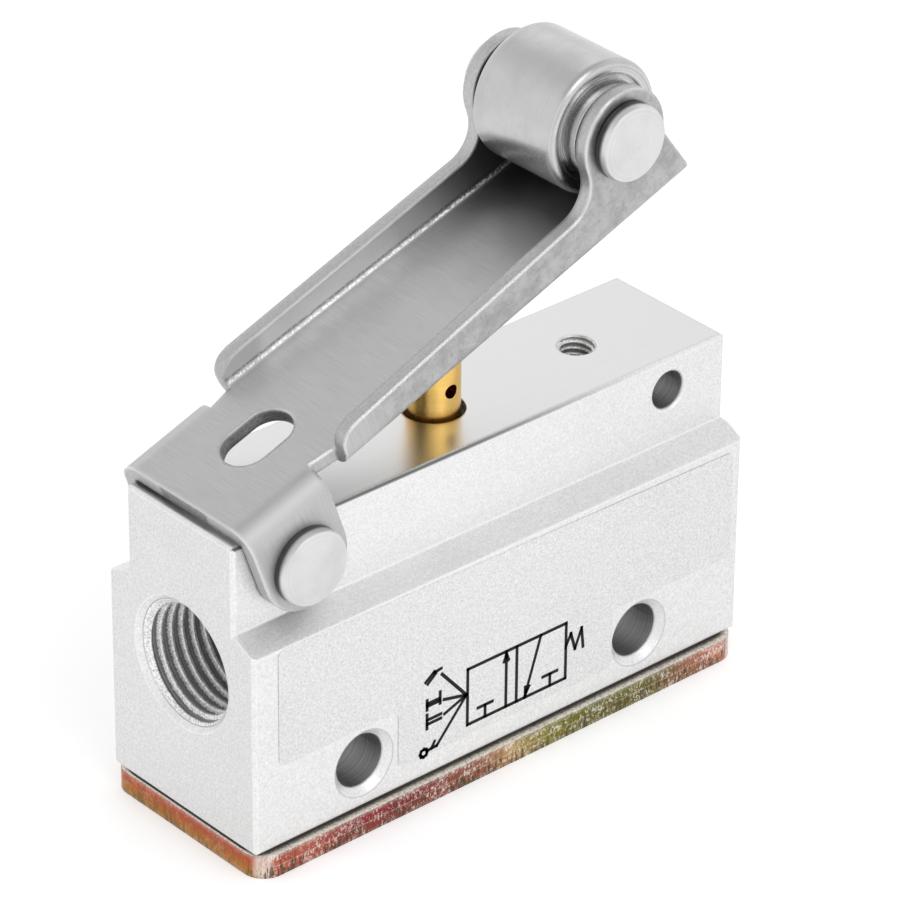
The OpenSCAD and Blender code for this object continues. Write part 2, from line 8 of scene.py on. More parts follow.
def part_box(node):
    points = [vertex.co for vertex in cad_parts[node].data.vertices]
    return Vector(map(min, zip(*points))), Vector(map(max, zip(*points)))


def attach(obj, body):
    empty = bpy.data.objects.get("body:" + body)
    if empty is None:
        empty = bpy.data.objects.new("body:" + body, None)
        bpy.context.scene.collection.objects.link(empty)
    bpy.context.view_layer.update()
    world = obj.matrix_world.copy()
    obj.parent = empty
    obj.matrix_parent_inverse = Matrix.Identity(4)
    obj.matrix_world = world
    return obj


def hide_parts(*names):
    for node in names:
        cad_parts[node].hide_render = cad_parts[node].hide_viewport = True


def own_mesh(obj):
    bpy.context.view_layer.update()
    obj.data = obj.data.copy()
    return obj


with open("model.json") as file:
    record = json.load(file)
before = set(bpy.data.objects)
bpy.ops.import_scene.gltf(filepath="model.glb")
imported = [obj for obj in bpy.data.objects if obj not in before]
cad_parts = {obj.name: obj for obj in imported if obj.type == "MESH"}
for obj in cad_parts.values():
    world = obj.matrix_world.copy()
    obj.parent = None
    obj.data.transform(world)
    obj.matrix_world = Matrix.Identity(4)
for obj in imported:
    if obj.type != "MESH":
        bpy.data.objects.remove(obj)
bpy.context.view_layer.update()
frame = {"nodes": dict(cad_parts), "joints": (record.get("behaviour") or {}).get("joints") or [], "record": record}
nodes = frame["nodes"]
joints = {j["name"]: j for j in frame["joints"]}
mounts = {m["name"]: m for m in frame["record"]["mounts"]}
mm = 0.001
print("frame:", len(nodes), "nodes")

# Places that several finishes and pieces share, read from the frame
bodyLow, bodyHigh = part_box("valve_body")
pivot = Vector(joints["lever_pivot"]["pos_m"])
axle = Vector(joints["roller_spin"]["pos_m"])
port, fixing = mounts["inlet_port"], mounts["fixing_holes"]
spare, topThread = mounts["spare_lever_bore"], mounts["accessory_thread"]
portZ, portRadius = port["pos_m"][2], port["dims"]["r_mm"] * mm
fixingX, fixingZ = fixing["dims"]["spacing_x_mm"] * mm / 2, fixing["pos_m"][2]
fixingRadius = fixing["dims"]["hole_r_mm"] * mm
spareX, spareZ, spareRadius = spare["pos_m"][0], spare["pos_m"][2], spare["dims"]["r_mm"] * mm
topX, topRadius = topThread["pos_m"][0], topThread["dims"]["r_mm"] * mm
leverAngle = math.radians(19.5)  # the lever above level, at rest
stemRadius = 2.75 * mm  # the plunger above the block

# Camera: fitted to the edges of the block and the lever
photoView = {"azimuth": -41.617, "elevation": 30.472, "roll": 0.564, "distance": 0.545,
             "target": (0.00598, 0.00416, 0.02716), "lens": 218.28, "sensor": 36.0, "clip": (0.01, 50.0)}


def placeCamera(s):
    a, e = math.radians(s["azimuth"]), math.radians(s["elevation"])
    back = Vector((math.sin(a) * math.cos(e), -math.cos(a) * math.cos(e), math.sin(e)))
    data = bpy.data.cameras.new("photoCamera")
    data.lens, data.sensor_width = s["lens"], s["sensor"]
    data.clip_start, data.clip_end = s["clip"]
    camera = bpy.data.objects.new("photoCamera", data)
    bpy.context.scene.collection.objects.link(camera)
    look = (-back).to_track_quat("-Z", "Y").to_matrix().to_4x4()
    turn = look @ Matrix.Rotation(math.radians(s["roll"]), 4, "Z")
    camera.matrix_world = Matrix.Translation(Vector(s["target"]) + back * s["distance"]) @ turn
    bpy.context.scene.camera = camera


placeCamera(photoView)
print("camera placed")


# Shader helpers: a socket is linked, a plain value is set
def feed(tree, value, socket):
    if isinstance(value, bpy.types.NodeSocket):
        tree.links.new(value, socket)
    else:
        socket.default_value = value


def addNode(tree, kind, inputs=None, **settings):
    made = tree.nodes.new(kind)
    for key, value in settings.items():
        setattr(made, key, value)
    for key, value in (inputs or {}).items():
        feed(tree, value, made.inputs[key])
    return made


def calc(tree, operation, first, second=0.0):
    return addNode(tree, "ShaderNodeMath", {0: first, 1: second}, operation=operation).outputs[0]


def times(tree, a, b):
    return calc(tree, "MULTIPLY", a, b)


def plus(tree, a, b):
    return calc(tree, "ADD", a, b)


def minus(tree, a, b):
    return calc(tree, "SUBTRACT", a, b)


def larger(tree, a, b):
    return calc(tree, "MAXIMUM", a, b)


def unsigned(tree, a):
    return calc(tree, "ABSOLUTE", a)


# A swing of a mask about one half, made wider or narrower
def swing(tree, mask, reach):
    return times(tree, minus(tree, mask, 0.5), reach)


def hypot(tree, a, b, centreA=0.0, centreB=0.0):
    da, db = minus(tree, a, centreA), minus(tree, b, centreB)
    return calc(tree, "SQRT", plus(tree, times(tree, da, da), times(tree, db, db)))


def vectorCalc(tree, operation, *vectors):
    return addNode(tree, "ShaderNodeVectorMath", dict(enumerate(vectors)), operation=operation).outputs


def parts(tree, vector):
    return addNode(tree, "ShaderNodeSeparateXYZ", {0: vector}).outputs


# Smooth step from low to high; it falls where low is the larger
def between(tree, value, low, high, to=(0.0, 1.0)):
    span = {"Value": value, "From Min": low, "From Max": high, "To Min": to[0], "To Max": to[1]}
    return addNode(tree, "ShaderNodeMapRange", span, interpolation_type="SMOOTHSTEP").outputs["Result"]


def grey(level):
    return (level, level, level, 1.0)


def mixColour(tree, factor, a, b):
    return addNode(tree, "ShaderNodeMix", {0: factor, 6: a, 7: b}, data_type="RGBA").outputs[2]


def mixValue(tree, factor, a, b):
    return addNode(tree, "ShaderNodeMix", {0: factor, 2: a, 3: b}).outputs[0]


# A grey that a mask carries from below its tone to above it
def speckled(tree, mask, tone, spread):
    return mixColour(tree, mask, grey(tone - spread), grey(tone + spread))


# A second colour laid over the first, by a share of a mask
def overlay(tree, colour, mask, share, second):
    return mixColour(tree, times(tree, mask, share), colour, second)


def stretch(tree, vector, scale, turn=(0, 0, 0)):
    return addNode(tree, "ShaderNodeMapping", {"Vector": vector, "Scale": scale, "Rotation": turn}).outputs[0]


def noise(tree, vector, scale, detail=2.0, roughness=0.5):
    fields = {"Vector": vector, "Scale": scale, "Detail": detail, "Roughness": roughness}
    return addNode(tree, "ShaderNodeTexNoise", fields).outputs["Fac"]


def bump(tree, height, strength, distance, normal=None):
    fields = {"Height": height, "Strength": strength, "Distance": distance}
    if normal is not None:
        fields["Normal"] = normal
    return addNode(tree, "ShaderNodeBump", fields).outputs[0]


def rampColour(tree, value, stops):
    made = addNode(tree, "ShaderNodeValToRGB", {0: value})
    steps = made.color_ramp.elements
    steps[0].position, steps[0].color = stops[0][0], (*stops[0][1], 1.0)
    steps[1].position, steps[1].color = stops[-1][0], (*stops[-1][1], 1.0)
    for place, colour in stops[1:-1]:
        steps.new(place).color = (*colour, 1.0)
    return made.outputs[0]


def newFinish(name, **constants):
    material = bpy.data.materials.new(name)
    material.use_nodes = True
    tree = material.node_tree
    shader = tree.nodes["Principled BSDF"]
    for key, value in constants.items():
        shader.inputs[key].default_value = value
    return material, tree, shader, addNode(tree, "ShaderNodeTexCoord").outputs


def setSurface(tree, shader, colour, rough, normal=None):
    feed(tree, colour, shader.inputs["Base Color"])
    feed(tree, rough, shader.inputs["Roughness"])
    if normal is not None:
        feed(tree, normal, shader.inputs["Normal"])


def newGroup(name, inputs, outputs):
    group = bpy.data.node_groups.new(name, "ShaderNodeTree")
    for label, kind in inputs:
        group.interface.new_socket(name=label, in_out="INPUT", socket_type="NodeSocket" + kind)
    for label, kind in outputs:
        group.interface.new_socket(name=label, in_out="OUTPUT", socket_type="NodeSocket" + kind)
    return group, group.nodes.new("NodeGroupInput").outputs, group.nodes.new("NodeGroupOutput").inputs


def useGroup(tree, group, inputs):
    return addNode(tree, "ShaderNodeGroup", inputs, node_tree=group).outputs


# Blasted grain: two sizes of pits, as a height and as a tone round one half
def makeBlastedGrain():
    group, given, put = newGroup("blastedGrain", [("Vector", "Vector"), ("Scale", "Float")],
                                 [("Height", "Float"), ("Tone", "Float")])
    fine = noise(group, given["Vector"], given["Scale"], 1.0)
    coarse = noise(group, given["Vector"], times(group, given["Scale"], 0.55))
    feed(group, plus(group, times(group, fine, 0.6), times(group, coarse, 0.4)), put["Height"])
    feed(group, plus(group, times(group, fine, 0.7), times(group, coarse, 0.3)), put["Tone"])
    return group


# Brushed lines that run along the vector's Y: hairlines and wider streaks
def makeBrushedLines():
    group, given, put = newGroup("brushedLines", [("Vector", "Vector")],
                                 [("Hairline", "Float"), ("Streak", "Float")])
    narrow = stretch(group, given["Vector"], (9000, 260, 260))
    feed(group, noise(group, narrow, 1.0, 2.0, 0.6), put["Hairline"])
    wide = stretch(group, given["Vector"], (1500, 90, 90))
    feed(group, noise(group, wide, 1.0, 3.0, 0.6), put["Streak"])
    return group


# Rounded edges: a normal that blends over the edge, and a mask that is 1 on it
def makeSoftEdge():
    group, given, put = newGroup("softEdge", [("Radius", "Float")],
                                 [("Normal", "Vector"), ("Edge", "Float")])
    rounded = addNode(group, "ShaderNodeBevel", {"Radius": given["Radius"]}, samples=6).outputs[0]
    flat = addNode(group, "ShaderNodeNewGeometry").outputs["Normal"]
    same = vectorCalc(group, "DOT_PRODUCT", rounded, flat)["Value"]
    feed(group, rounded, put["Normal"])
    feed(group, between(group, same, 0.985, 0.80), put["Edge"])
    return group


# Turning marks: fine rings that follow one distance, such as a radius or a height
def makeTurningMarks():
    group, given, put = newGroup("turningMarks", [("Distance", "Float"), ("Scale", "Float")],
                                 [("Rings", "Float")])
    fields = {"W": given["Distance"], "Scale": given["Scale"], "Detail": 3.0, "Roughness": 0.65}
    rings = addNode(group, "ShaderNodeTexNoise", fields, noise_dimensions="1D")
    feed(group, rings.outputs["Fac"], put["Rings"])
    return group


# Handling marks: soft cloudy patches that break up a gloss
def makeHandlingMarks():
    group, given, put = newGroup("handlingMarks", [("Vector", "Vector"), ("Scale", "Float")],
                                 [("Patch", "Float")])
    cloud = noise(group, given["Vector"], given["Scale"], 5.0, 0.6)
    feed(group, between(group, cloud, 0.35, 0.7), put["Patch"])
    return group


blastedGrain = makeBlastedGrain()
brushedLines = makeBrushedLines()
softEdge = makeSoftEdge()
turningMarks = makeTurningMarks()
handlingMarks = makeHandlingMarks()


def grainOn(tree, vector, scale):
    return useGroup(tree, blastedGrain, {"Vector": vector, "Scale": scale})


def patchOn(tree, vector, scale):
    return useGroup(tree, handlingMarks, {"Vector": vector, "Scale": scale})["Patch"]


def ringsOn(tree, distance, scale):
    return useGroup(tree, turningMarks, {"Distance": distance, "Scale": scale})["Rings"]


def edgeOn(tree, radius):
    return useGroup(tree, softEdge, {"Radius": radius})


print("shared effects ready")

# Clear-anodised block: blasted sides, milled ends, a planed top and bare drilled walls, with painted light and
# shade
block = {"tone": 0.85, "farShadeTone": 0.79, "endShadeTone": 0.75, "filmTone": 0.79, "farFilmShadeTone": 0.745,
         "lightFalloffFrom": -10 * mm, "lightFalloffTo": 32 * mm, "speckle": 0.22, "grainScale": 4600.0, "patchScale": 140.0,
         "rough": 0.5, "topTone": 0.72, "topSpread": 0.03, "topRough": 0.29, "topSkin": 0.1 * mm,
         "markScale": 3500.0, "markHeight": 0.2, "drilledTone": 0.78, "drilledSpread": 0.4,
         "drilledRough": 0.34, "wallMargin": 0.03 * mm, "portDepth": 13 * mm,
         "edgeTone": 1.0, "edgeShare": 0.9, "edgeRadius": 0.35 * mm, "bump": 0.7, "pit": 0.05 * mm,
         "rimRadius": fixingRadius + 0.8 * mm, "rimWidth": 0.02 * mm, "rimSoft": 0.1 * mm,
         "rimShadeTone": 0.42, "rimShare": 0.6, "neckHalf": 8 * mm, "lipWidth": 0.2 * mm, "lipReflectionTone": 0.18,
         "lipFrom": 26 * mm, "lipTo": -6 * mm}


def anodisedBlock(s):
    material, tree, shader, place = newFinish("anodisedBlock", Metallic=1.0)
    x, y, z = parts(tree, place["Object"])
    side = unsigned(tree, x)
    face = parts(tree, place["Normal"])
    grain = grainOn(tree, place["Object"], s["grainScale"])
    patch = patchOn(tree, place["Object"], s["patchScale"])
    marks = ringsOn(tree, y, s["markScale"])
    edge = edgeOn(tree, s["edgeRadius"])

    # A hole's wall: everything nearer to its axis than its radius and a margin
    def drilled(away, radius):
        return between(tree, away, radius + 2 * s["wallMargin"], radius + s["wallMargin"])

    fixingAway = hypot(tree, side, z, fixingX, fixingZ)
    spareWall = drilled(hypot(tree, side, z, spareX, spareZ), spareRadius)
    topWall = drilled(hypot(tree, side, y, topX), topRadius)
    portWall = drilled(hypot(tree, y, z, 0.0, portZ), portRadius)
    inPort = between(tree, side, bodyHigh.x - s["portDepth"], bodyHigh.x - s["portDepth"] + 1 * mm)
    hollow = larger(tree, larger(tree, drilled(fixingAway, fixingRadius), spareWall), topWall)
    hollow = larger(tree, hollow, times(tree, portWall, inPort))
    onTop = between(tree, z, bodyHigh.z - s["topSkin"], bodyHigh.z - 0.3 * s["topSkin"])
    top = times(tree, onTop, between(tree, face["Z"], 0.9, 0.97))
    ends = between(tree, unsigned(tree, face["X"]), 0.9, 0.98)
    # A painted shade line round each fixing hole, at the outer edge of its chamfer
    rimStart = between(tree, fixingAway, s["rimRadius"] - s["rimSoft"], s["rimRadius"])
    rimEnd = s["rimRadius"] + s["rimWidth"]
    shadeRim = times(tree, rimStart, between(tree, fixingAway, rimEnd + s["rimSoft"], rimEnd))

    blasted = speckled(tree, grain["Tone"], s["tone"], s["speckle"])
    # Painted shade: the sides darken towards +x, as the light falls off across the block
    dimmed = speckled(tree, grain["Tone"], s["farShadeTone"], s["speckle"])
    lightFalloff = times(tree, between(tree, x, s["lightFalloffFrom"], s["lightFalloffTo"]), between(tree, face["Z"], 0.5, 0.2))
    blasted = mixColour(tree, lightFalloff, blasted, dimmed)
    # Painted shade: the ends a shade darker than the sides, for the lesser light on them
    blasted = mixColour(tree, ends, blasted, speckled(tree, grain["Tone"], s["endShadeTone"], s["speckle"]))
    colour = mixColour(tree, top, blasted, speckled(tree, marks, s["topTone"], s["topSpread"]))
    # Painted highlight: the edges lightened almost to white
    glint = between(tree, edge["Edge"], 0.02, 0.35)
    colour = overlay(tree, colour, glint, s["edgeShare"], grey(s["edgeTone"]))
    # Painted reflection of the lever: a dark line on the broken edge along the front of the top, darker towards
    # the lever
    lipStart = s["lipWidth"] - s["neckHalf"]
    onLip = times(tree, between(tree, y, lipStart + s["lipWidth"], lipStart),
                  between(tree, z, bodyHigh.z - 2 * s["lipWidth"], bodyHigh.z - s["lipWidth"]))
    onLip = times(tree, onLip, between(tree, face["Z"], 0.3, 0.6))
    lip = times(tree, onLip, between(tree, x, s["lipFrom"], s["lipTo"]))
    colour = mixColour(tree, lip, colour, grey(s["lipReflectionTone"]))
    colour = overlay(tree, colour, shadeRim, s["rimShare"], grey(s["rimShadeTone"]))
    wallColour = speckled(tree, marks, s["drilledTone"], s["drilledSpread"] * s["drilledTone"])
    rough = mixValue(tree, patch, s["rough"] - 0.04, s["rough"] + 0.05)
    rough = mixValue(tree, top, rough, s["topRough"])
    height = mixValue(tree, larger(tree, top, hollow), grain["Height"], times(tree, marks, s["markHeight"]))
    setSurface(tree, shader, mixColour(tree, hollow, colour, wallColour),
               mixValue(tree, hollow, rough, s["drilledRough"]),
               bump(tree, height, s["bump"], s["pit"], edge["Normal"]))
    return material


# Cut thread: speckled crests and a cone at the mouth painted bright as painted light, ragged rougher roots painted
# dark as painted shade
cut = {"litCrestTone": 0.98, "pitTone": 0.66, "shadedRootTone": 0.34, "ragged": 2.2, "grainScale": 5200.0,
       "crestRough": 0.55, "rootRough": 0.6, "bump": 0.5, "pit": 0.05 * mm}


def cutThread(name, mouthCentre, axis, t, s=cut):
    material, tree, shader, place = newFinish(name, Metallic=1.0)
    moved = vectorCalc(tree, "SUBTRACT", place["Object"], mouthCentre)[0]
    radius = vectorCalc(tree, "LENGTH", vectorCalc(tree, "CROSS_PRODUCT", moved, axis)[0])["Value"]
    depth = vectorCalc(tree, "DOT_PRODUCT", moved, axis)["Value"]
    grain = grainOn(tree, place["Object"], s["grainScale"])
    groove = t["root"] - t["crest"]
    offCone = minus(tree, plus(tree, radius, depth), t["mouth"])
    deep = between(tree, radius, t["crest"] + 0.35 * groove, t["crest"] + 0.8 * groove)
    deep = times(tree, deep, between(tree, offCone, 0.05 * groove, 0.35 * groove))
    ragged = plus(tree, deep, swing(tree, grain["Tone"], s["ragged"]))
    pitted = between(tree, grain["Tone"], 0.4, 0.62)
    crest = mixColour(tree, pitted, grey(s["litCrestTone"]), grey(s["pitTone"]))
    colour = mixColour(tree, between(tree, ragged, 0.3, 0.75), crest, grey(s["shadedRootTone"]))
    setSurface(tree, shader, colour, mixValue(tree, deep, s["crestRough"], s["rootRough"]),
               bump(tree, grain["Height"], s["bump"], s["pit"]))
    return material


# Yellow chromate on zinc: colours drift along the plate; the punched edge is smooth above and torn below
plate = {"stops": [(0.0, (0.46, 0.085, 0.035)), (0.06, (0.46, 0.12, 0.085)), (0.17, (0.32, 0.04, 0.05)),
                   (0.30, (0.26, 0.035, 0.045)), (0.43, (0.31, 0.11, 0.07)), (0.51, (0.55, 0.36, 0.16)),
                   (0.60, (0.24, 0.22, 0.035)), (0.69, (0.15, 0.15, 0.02)), (0.80, (0.16, 0.145, 0.03)),
                   (0.87, (0.26, 0.15, 0.07)), (0.94, (0.46, 0.16, 0.11)), (1.0, (0.60, 0.32, 0.26))],
         "bare": (0.92, 0.87, 0.79, 1.0), "dark": (0.075, 0.06, 0.03, 1.0), "straw": (0.44, 0.23, 0.03, 1.0),
         "drift": 0.2, "driftScale": (110, 110, 260), "streakScale": (3300, 3300, 700),
         "fleckScale": (3000, 3000, 1900), "fleckTurn": (0, 0.6, 0), "fleckFrom": 0.54, "fleckTo": 0.57,
         "fleckTint": 0.3, "clusterScale": (420, 420, 900), "cluster": 0.35, "tornFrom": 0.5,
         "rolledLightShare": 0.9, "wornShare": 0.3, "lipShare": 0.35, "edgeRadius": 1.0 * mm, "rough": 0.36,
         "bump": 0.5, "pit": 0.06 * mm}


def chromatePlate(s):
    low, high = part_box("base_plate")
    material, tree, shader, place = newFinish("chromatePlate", Metallic=1.0)
    x, y, z = parts(tree, place["Object"])
    face = parts(tree, place["Normal"])
    endways = unsigned(tree, face["X"])
    edge = edgeOn(tree, s["edgeRadius"])
    drift = noise(tree, stretch(tree, place["Object"], s["driftScale"]), 1.0, 3.0)
    streak = noise(tree, stretch(tree, place["Object"], s["streakScale"]), 1.0, 3.0, 0.7)
    cluster = noise(tree, stretch(tree, place["Object"], s["clusterScale"]), 1.0, 3.0)
    fleck = noise(tree, stretch(tree, place["Object"], s["fleckScale"], s["fleckTurn"]), 1.0, 5.0, 0.8)
    fleck = plus(tree, fleck, swing(tree, cluster, s["cluster"]))

    # The long sides turn from smooth to torn over a narrow band, the ends over a wide one
    sides = between(tree, endways, 0.9, 0.5)
    soft = mixValue(tree, sides, 0.4, 0.05)
    share = calc(tree, "DIVIDE", z, high.z)
    torn = between(tree, share, plus(tree, soft, s["tornFrom"]), minus(tree, s["tornFrom"], soft))
    lip = minus(tree, 1.0, unsigned(tree, minus(tree, times(tree, torn, 2.0), 1.0)))

    along = calc(tree, "DIVIDE", minus(tree, x, low.x), high.x - low.x)
    colour = rampColour(tree, plus(tree, along, swing(tree, drift, s["drift"])), s["stops"])
    colour = overlay(tree, colour, torn, mixValue(tree, sides, 0.8, 0.1), s["straw"])
    flecks = times(tree, between(tree, fleck, s["fleckFrom"], s["fleckTo"]), mixValue(tree, sides, 0.2, 0.95))
    colour = mixColour(tree, flecks, colour, mixColour(tree, s["fleckTint"], s["bare"], colour))
    corner = times(tree, between(tree, endways, 0.15, 0.5), between(tree, endways, 0.97, 0.8, (0.0, 0.6)))
    # The rolled top edge laid near white: bare zinc in part, and painted light against the shadow of the block
    # over it
    rolledEdgeLight = times(tree, between(tree, face["Z"], 0.3, 0.7), s["rolledLightShare"])
    wornAndLit = larger(tree, rolledEdgeLight, times(tree, edge["Edge"], s["wornShare"]))
    bare = larger(tree, larger(tree, corner, wornAndLit), times(tree, times(tree, lip, sides), s["lipShare"]))
    dark = times(tree, between(tree, streak, 0.52, 0.42), mixValue(tree, torn, 0.35, 0.85))
    dark = times(tree, dark, mixValue(tree, sides, 0.6, 1.0))
    colour = mixColour(tree, dark, mixColour(tree, bare, colour, s["bare"]), s["dark"])
    height = plus(tree, times(tree, streak, torn), times(tree, fleck, 0.5))
    setSurface(tree, shader, colour, mixValue(tree, streak, s["rough"] - 0.1, s["rough"] + 0.15),
               bump(tree, height, s["bump"], s["pit"], edge["Normal"]))
    return material


# Stamped lever: hairlines across the strip, torn edges, dull flanks; painted highlights on the fold, the heel's
# bend and the outer edges, painted light inside the flanges, painted shade in the crease, on the slot's wall and
# under the roller.
# Lengths are along the strip from the pivot, heights are off the line through the pivot.
strip = {"tone": 0.54, "hairline": 0.13, "streakTone": 0.60, "insideLightTone": 0.62, "outsideTone": 0.41,
         "mottle": 0.07, "speckTone": 0.21, "bendHighlightTone": 0.57, "edgeTone": 0.52, "slotShadeTone": 0.30,
         "glintTone": 0.88, "rollerShadeTone": 0.12, "creaseShadeTone": 0.2, "rough": 0.38, "bendRough": 0.56,
         "edgeRough": 0.22, "edgeRadius": 0.7 * mm, "grainScale": 3600.0, "patchScale": 210.0,
         "mottleScale": 620.0, "speckScale": 2100.0, "webHigh": 7.51 * mm, "slotHalf": 3.2 * mm,
         "bendEnd": 12 * mm, "outsideFrom": 10 * mm, "outsideTo": 16 * mm, "rollerShadeFrom": 26 * mm,
         "rollerShadeTo": 46 * mm, "bump": 0.4, "scratch": 0.03 * mm}


def stampedStrip(s):
    material, tree, shader, place = newFinish("stampedStrip", Metallic=1.0)
    level = {"Vector": place["Object"], "Location": pivot, "Rotation": (0, -leverAngle, 0)}
    flat = addNode(tree, "ShaderNodeMapping", level, vector_type="TEXTURE").outputs[0]
    turned = {"Vector": place["Normal"], "Angle": leverAngle}
    facing = addNode(tree, "ShaderNodeVectorRotate", turned, rotation_type="Y_AXIS").outputs[0]
    u, y, v = parts(tree, flat)
    faceU, faceY, faceV = parts(tree, facing)
    lines = useGroup(tree, brushedLines, {"Vector": flat})
    grain = grainOn(tree, place["Object"], s["grainScale"])
    patch = patchOn(tree, flat, s["patchScale"])
    edge = edgeOn(tree, s["edgeRadius"])

    # Faces that were cut: the flanges' upper edges, the slot's wall and the strip's ends
    webHigh = s["webHigh"]
    aboveWeb = between(tree, v, webHigh - 0.1 * mm, webHigh - 0.05 * mm)
    notSide = between(tree, unsigned(tree, faceY), 0.5, 0.3)
    notLevel = between(tree, unsigned(tree, faceV), 0.5, 0.3)
    middle = between(tree, unsigned(tree, y), s["slotHalf"] + 0.5 * mm, s["slotHalf"])
    flangeTop = times(tree, between(tree, v, webHigh + 0.8 * mm, webHigh + 1.1 * mm), notSide)
    slotWall = times(tree, middle, notLevel)
    stripEnd = between(tree, unsigned(tree, faceU), 0.85, 0.95)
    sheared = larger(tree, larger(tree, flangeTop, slotWall), stripEnd)

    # The flanges' inner and outer sides, the fold along the web, the bend at the heel and the painted shade under
    # the roller
    outward = times(tree, faceY, y)
    inside = times(tree, between(tree, outward, -2 * mm, -6 * mm), aboveWeb)
    outside = times(tree, between(tree, outward, 2 * mm, 6 * mm),
                    between(tree, u, s["outsideFrom"], s["outsideTo"]))
    fold = times(tree, between(tree, faceV, 0.2, 0.4), between(tree, faceV, 0.92, 0.75))
    fold = times(tree, fold, between(tree, v, webHigh + 0.7 * mm, webHigh + 0.55 * mm))
    fold = times(tree, fold, aboveWeb)
    # Painted shade in the crease just above the fold, on the inner side
    crease = times(tree, between(tree, v, webHigh + 0.38 * mm, webHigh + 0.5 * mm),
                   between(tree, v, webHigh + 0.85 * mm, webHigh + 0.62 * mm))
    crease = times(tree, times(tree, crease, inside), between(tree, grain["Tone"], 0.68, 0.42))
    bent = times(tree, between(tree, u, s["bendEnd"] + 2 * mm, s["bendEnd"]),
                 between(tree, faceV, 0.99, 0.9))
    channel = larger(tree, inside, times(tree, between(tree, faceV, 0.8, 0.95), aboveWeb))
    # Painted shade in the channel, darkening towards the roller
    rollerShade = times(tree, between(tree, u, s["rollerShadeFrom"], s["rollerShadeTo"]), channel)
    rollerShade = times(tree, rollerShade, minus(tree, 1.0, flangeTop))

    brushed = speckled(tree, lines["Hairline"], s["tone"], s["hairline"])
    brushed = overlay(tree, brushed, lines["Streak"], 0.5, grey(s["streakTone"]))
    # Painted light on the flanges' inner sides
    brushed = overlay(tree, brushed, inside, 0.7, grey(s["insideLightTone"]))
    brushed = overlay(tree, brushed, crease, 0.7, grey(s["creaseShadeTone"]))
    mottle = between(tree, noise(tree, flat, s["mottleScale"], 5.0, 0.7), 0.35, 0.65)
    speck = between(tree, noise(tree, flat, s["speckScale"], 3.0, 0.6), 0.6, 0.68)
    dull = speckled(tree, mottle, s["outsideTone"], s["mottle"])
    dull = overlay(tree, dull, speck, 0.5, grey(s["speckTone"]))
    brushed = overlay(tree, brushed, outside, 0.85, dull)
    # Painted highlight on the heel's bend
    brushed = overlay(tree, brushed, bent, between(tree, faceV, 0.15, 0.5), grey(s["bendHighlightTone"]))
    torn = mixColour(tree, grain["Tone"], grey(s["edgeTone"] - 0.14), grey(s["edgeTone"] + 0.12))
    colour = mixColour(tree, sheared, brushed, torn)
    # Painted shade on the slot's wall, darker than the other cut edges
    colour = mixColour(tree, slotWall, colour, speckled(tree, grain["Tone"], s["slotShadeTone"], 0.2))
    colour = overlay(tree, colour, rollerShade, 0.8, grey(s["rollerShadeTone"]))
    # Painted highlight on the rolled outer edges, speckled along the fold
    edgeOutward = times(tree, parts(tree, edge["Normal"])["Y"], y)
    outerEdge = between(tree, edgeOutward, -1 * mm, 1 * mm, (0.1, 0.85))
    foldHighlight = times(tree, fold, between(tree, grain["Tone"], 0.45, 0.58))
    rolledEdgeLight = times(tree, edge["Edge"], outerEdge)
    colour = mixColour(tree, larger(tree, rolledEdgeLight, foldHighlight), colour, grey(s["glintTone"]))
    rough = mixValue(tree, patch, s["rough"] - 0.04, s["rough"] + 0.06)
    rough = mixValue(tree, bent, rough, s["bendRough"])
    height = mixValue(tree, larger(tree, sheared, fold), lines["Hairline"], grain["Height"])
    setSurface(tree, shader, colour, mixValue(tree, rolledEdgeLight, rough, s["edgeRough"]),
               bump(tree, height, s["bump"], s["scratch"], edge["Normal"]))
    return material


# Turned steel: rings round an axis along Y, and painted shade where a head meets the sheet under it
turnedPieces = {
    "pivot_pin": {"tone": 0.71, "marks": 0.05, "rough": 0.33, "edgeRadius": 0.1 * mm, "underHeadShadeTone": 0.10},
    "roller_axle": {"tone": 0.71, "marks": 0.06, "rough": 0.33, "edgeRadius": 0.1 * mm, "underHeadShadeTone": 0.10},
    "roller_bush_front": {"tone": 0.62, "marks": 0.3, "rough": 0.24, "edgeRadius": 0.15 * mm},
    "roller": {"tone": 0.57, "marks": 0.05, "endMarks": 0.25, "rough": 0.27, "edgeRadius": 0.3 * mm,
               "pitted": 1.0}}
turning = {"endScale": 4200.0, "roundScale": 5200.0, "patchScale": 260.0, "grainScale": 2600.0,
           "patchShare": 0.5, "patchDrop": 0.1, "edgeTone": 0.9, "edgeShare": 0.6, "headDepth": 0.9 * mm,
           "underHeadShadeDepth": 1.35 * mm, "pitted": 0.15, "bump": 0.25, "scratch": 0.03 * mm}


